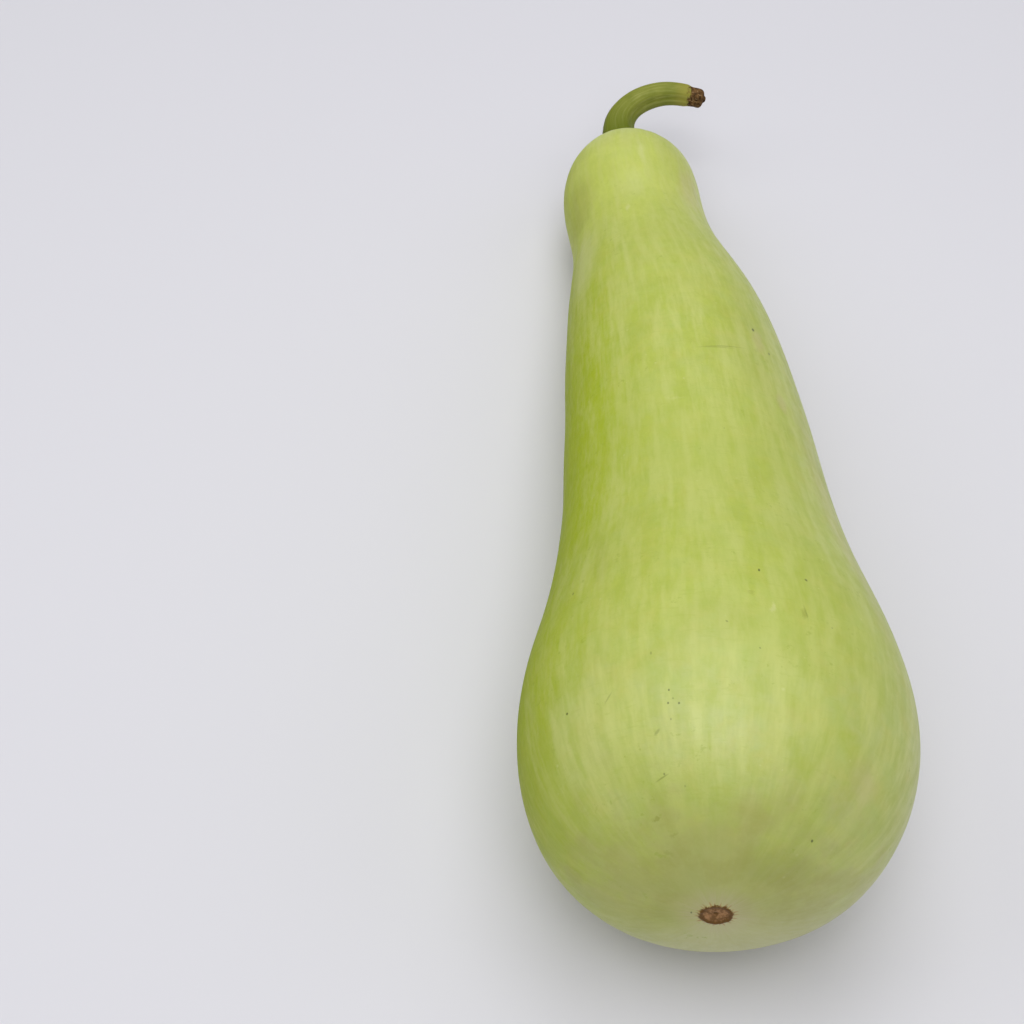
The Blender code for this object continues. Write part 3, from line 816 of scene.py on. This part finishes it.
# Wax lies thickest on the bloom, and neither on the left flank nor on the scar.
wax = maths(tree, "ADD", ramp(tree, broad, *WAX_LEVEL), product(tree, bloom_and_haze, BLOOM_WAX))
wax = product(tree, wax, ramp(tree, to_right, *FLANK_WAX), ramp(tree, inside, 1.0, 0.0))
tree.links.new(wax, shader.inputs["Coat Weight"])
rough = maths(tree, "ADD", ramp(tree, mottle, *SKIN_ROUGH), product(tree, inside, CORK_ROUGHER))
tree.links.new(rough, shader.inputs["Roughness"])
height = maths(tree, "ADD", noise(tree, place_on, *POROUS), product(tree, ripples, RIPPLE_PART))
height = maths(tree, "ADD", height, product(tree, mottle, MOTTLE_PART))
bump = shader_node(tree, "ShaderNodeBump", (
    ("Height", height), ("Strength", SKIN_RELIEF_STRENGTH), ("Distance", SKIN_RELIEF),
))
tree.links.new(bump.outputs["Normal"], shader.inputs["Normal"])

fruit_mesh.materials.append(skin)
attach(fruit, "root")
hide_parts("fruit")

# Stem
# The stalk that the fruit hung from, cut about 66 mm above it and curled to +X: tough, olive green and
# ribbed, wider where it grows out of the knob, and dried to a brown corky callus at the cut.
STEM_LINE = (
    # steps from the seat to the right, up and out
    (0.0000, 0.0000, 0.0000),
    (-0.0026, 0.0026, 0.0088),
    (-0.0043, 0.0058, 0.0172),
    (-0.0018, 0.0090, 0.0250),
    (0.0050, 0.0123, 0.0304),
    (0.0150, 0.0141, 0.0334),
    (0.0240, 0.0139, 0.0332),
    (0.0308, 0.0132, 0.0322),
)
STEM_FOOT_RADIUS = 0.0088
STEM_LOW_RADIUS = 0.0065
STEM_TIP_RADIUS = 0.0045
STEM_FLARE_LENGTH = 0.0340
STEM_TURN_LENGTH = 0.0120
STEM_FILLET = 0.0022
STEM_FILLET_REACH = 0.0016
STEM_RIBS = 5
STEM_RIB_SHARE = 0.050
STEM_FINE_SHARE = 0.010
STEM_SINK = 0.0006
CALLUS_LENGTH = 0.0064
CALLUS_SWELL = -0.0005
CALLUS_LUMP_SHARE = 0.030
CALLUS_END_RISE = 0.0028
CALLUS_END = (
    # the end's rings: share of the radius, share of the rise
    (0.98, 0.12),
    (0.94, 0.25),
    (0.88, 0.37),
    (0.80, 0.47),
    (0.71, 0.54),
    (0.62, 0.59),
    (0.53, 0.62),
    (0.45, 0.65),
    (0.38, 0.71),
    (0.33, 0.79),
    (0.29, 0.86),
    (0.24, 0.92),
    (0.17, 0.97),
    (0.09, 0.99),
)
STEM_FINE_RIBS = (10, 22, 25)
CALLUS_LUMPS = (18, 9, 260)
STEM_SEED = 11
STEM_SIDES = 120
STEM_RINGS = 300


def grown_stem():
    """The stalk as (ring, side) arrays.

    Rings stand square to a smooth line from the seat, turned into it over the foot. A ring's radius is a
    flared taper with five ribs, which give way at the callus to lumps, and past the cut the rings close in
    a rounded lumpy face with a nub in its middle.
    """
    rng = np.random.default_rng(STEM_SEED)
    steps = np.arange(len(STEM_LINE))
    fine_steps = np.linspace(0, steps[-1], TABLE_POINTS)
    curves = [natural_spline(steps, [point[i] for point in STEM_LINE]) for i in range(3)]
    line = np.stack([curve(fine_steps) for curve in curves], axis=1)
    walked = np.concatenate([[0.0], np.cumsum(np.linalg.norm(np.diff(line, axis=0), axis=1))])
    length = walked[-1]
    tangent = unit(np.gradient(line, walked, axis=0))

    distance = length * np.linspace(0, 1, STEM_RINGS)
    centre = np.stack([np.interp(distance, walked, line[:, i]) for i in range(3)], axis=1)
    along = np.stack([np.interp(distance, walked, tangent[:, i]) for i in range(3)], axis=1)
    turned = smooth_step(0, STEM_TURN_LENGTH, distance)[:, None]
    along = unit((1 - turned) * np.array(UPRIGHT) + turned * along)
    right = np.zeros_like(along)
    carried = np.array([1.0, 0.0, 0.0])
    for i, direction in enumerate(along):
        carried = unit(carried - direction * (carried @ direction))
        right[i] = carried
    up = np.cross(along, right)

    # One ring is sunk into the knob, then come the rings of the stalk and those that close its cut end.
    end_shares, end_rises = np.array(CALLUS_END).T
    closing = np.concatenate([np.ones(1 + STEM_RINGS), end_shares])[:, None]
    rise = np.concatenate([[-STEM_SINK], np.zeros(STEM_RINGS), end_rises * CALLUS_END_RISE])
    take = np.concatenate([[0], np.arange(STEM_RINGS), np.full(len(end_shares), STEM_RINGS - 1)])
    centre = centre[take] + along[take] * rise[:, None]
    right, up, along = right[take], up[take], along[take]
    distance = (distance[take] + rise)[:, None]

    angle = (2 * math.pi * np.arange(STEM_SIDES) / STEM_SIDES)[None, :]
    taper = STEM_LOW_RADIUS + (STEM_TIP_RADIUS - STEM_LOW_RADIUS) * np.minimum(distance / length, 1)
    flare = (STEM_FOOT_RADIUS - STEM_LOW_RADIUS) * (1 - smooth_step(0, STEM_FLARE_LENGTH, distance))
    fillet = STEM_FILLET * np.exp(-distance / STEM_FILLET_REACH)
    callus = smooth_step(length - CALLUS_LENGTH, length - CALLUS_LENGTH / 2, distance)
    rib = STEM_RIB_SHARE * (1 - callus) * np.cos(STEM_RIBS * angle)
    rib = rib + STEM_FINE_SHARE * (1 - callus) * lumps(rng, *STEM_FINE_RIBS, angle, distance)
    lump = callus * CALLUS_LUMP_SHARE * lumps(rng, *CALLUS_LUMPS, angle, distance)
    out = (taper + flare + fillet + CALLUS_SWELL * callus) * (1 + rib + lump) * closing
    poles = centre[0], centre[-1] + along[-1] * ((1 - end_rises[-1]) * CALLUS_END_RISE)
    points = ring_points(centre, right, up, out, angle)
    return points, poles, tube_coordinates(STEM_LOW_RADIUS, angle, distance), length


stem_points, stem_poles, stem_grown, stem_length = grown_stem()
seat_place, seat_out, seat_right, seat_up = (rows[0] for rows in axis_frame(SEAT_STATION))
seat_place = seat_place + place
seat_axes = np.stack([seat_right, seat_up, seat_out])
stem_points = stem_points @ seat_axes + seat_place
stem_poles = [pole @ seat_axes + seat_place for pole in stem_poles]
stem_mesh = closed_tube("gourd_stem", stem_points, stem_poles, stem_grown)
stem = bpy.data.objects.new("gourd_stem", stem_mesh)
bpy.context.scene.collection.objects.link(stem)

STALK_GREEN = (0.240, 0.262, 0.040, 1.0)
STALK_DEEP = (0.100, 0.135, 0.003, 1.0)
# Pale streaks of the stalk, made paler as a painted sheen of the overhead lamp.
STALK_PALE_AND_SHEEN = (0.390, 0.400, 0.120, 1.0)
STALK_YELLOW = (0.380, 0.330, 0.060, 1.0)
CALLUS_BROWN = (0.190, 0.100, 0.036, 1.0)
CALLUS_DARK = (0.040, 0.020, 0.007, 1.0)
CALLUS_TAN = (0.400, 0.260, 0.130, 1.0)
STALK_STREAKS = (900.0, 60.0)
STALK_CLOUDS = (140.0, 3.0)
STALK_GRAIN = (1500.0, 3.0)
CALLUS_RAGS = (500.0, 3.0)
CALLUS_CORK = (700.0, 4.0, 0.7)
CALLUS_FLECKS = (1300.0, 2.0)
STALK_STREAK_LEVEL = (0.35, 0.95, 0.0, 0.55)
STALK_CLOUD_LEVEL = (0.45, 0.65, 0.0, 0.25)
STALK_FOOT_ENDS = (0.038, 0.006, 0.0, 0.90)
YELLOW_BEGINS = stem_length - 0.013
YELLOW_FULL = stem_length - 0.006
YELLOW_SHARE = 0.55
CALLUS_RAGS_BY = (0.3, 0.7, -0.0010, 0.0010)
CALLUS_BEGINS = stem_length - CALLUS_LENGTH * 0.85
CALLUS_FULL = stem_length - CALLUS_LENGTH * 0.6
CALLUS_CORK_LEVEL = (0.35, 0.65)
CALLUS_FLECK_LEVEL = (0.58, 0.68, 0.0, 0.7)
STALK_ROUGHNESS = 0.52
CALLUS_ROUGHER = 0.3
STALK_GRAIN_PART = 0.8
STALK_RELIEF = 0.0005
STALK_RELIEF_STRENGTH = 0.25

stalk, tree, shader = new_material("stalk_skin", Specular_IOR_Level=0.12)
grown = shader_node(tree, "ShaderNodeAttribute", attribute_name="grown").outputs["Vector"]
place_on = shader_node(tree, "ShaderNodeTexCoord").outputs["Object"]
from_seat = shader_node(tree, "ShaderNodeSeparateXYZ", (("Vector", grown),)).outputs["Z"]
ribbed = placed_group(tree, growth_streaks, (
    ("Grown", grown), ("Across", STALK_STREAKS[0]), ("Along", STALK_STREAKS[1]),
))
# Pale streaks along the ribs, partly a painted sheen of the overhead lamp.
colour = tinted(tree, ramp(tree, ribbed, *STALK_STREAK_LEVEL), STALK_GREEN, STALK_PALE_AND_SHEEN)
clouds = ramp(tree, noise(tree, place_on, *STALK_CLOUDS), *STALK_CLOUD_LEVEL)
colour = tinted(tree, clouds, colour, STALK_DEEP)
colour = tinted(tree, ramp(tree, from_seat, *STALK_FOOT_ENDS), colour, STALK_DEEP)
yellow = ramp(tree, from_seat, YELLOW_BEGINS, YELLOW_FULL, 0.0, YELLOW_SHARE)
colour = tinted(tree, yellow, colour, STALK_YELLOW)
edge = maths(tree, "ADD", from_seat, ramp(tree, noise(tree, place_on, *CALLUS_RAGS), *CALLUS_RAGS_BY))
cap = ramp(tree, edge, CALLUS_BEGINS, CALLUS_FULL)
cork_level = ramp(tree, noise(tree, place_on, *CALLUS_CORK), *CALLUS_CORK_LEVEL)
cork = tinted(tree, cork_level, CALLUS_DARK, CALLUS_BROWN)
flecks = ramp(tree, noise(tree, place_on, *CALLUS_FLECKS), *CALLUS_FLECK_LEVEL)
cork = tinted(tree, flecks, cork, CALLUS_TAN)
colour = tinted(tree, cap, colour, cork)
tree.links.new(colour, shader.inputs["Base Color"])
rough = maths(tree, "ADD", product(tree, cap, CALLUS_ROUGHER), STALK_ROUGHNESS)
tree.links.new(rough, shader.inputs["Roughness"])
height = maths(tree, "ADD", ribbed, product(tree, noise(tree, place_on, *STALK_GRAIN), STALK_GRAIN_PART))
bump = shader_node(tree, "ShaderNodeBump", (
    ("Height", height), ("Strength", STALK_RELIEF_STRENGTH), ("Distance", STALK_RELIEF),
))
tree.links.new(bump.outputs["Normal"], shader.inputs["Normal"])

stem_mesh.materials.append(stalk)
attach(stem, "root")
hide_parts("stem")
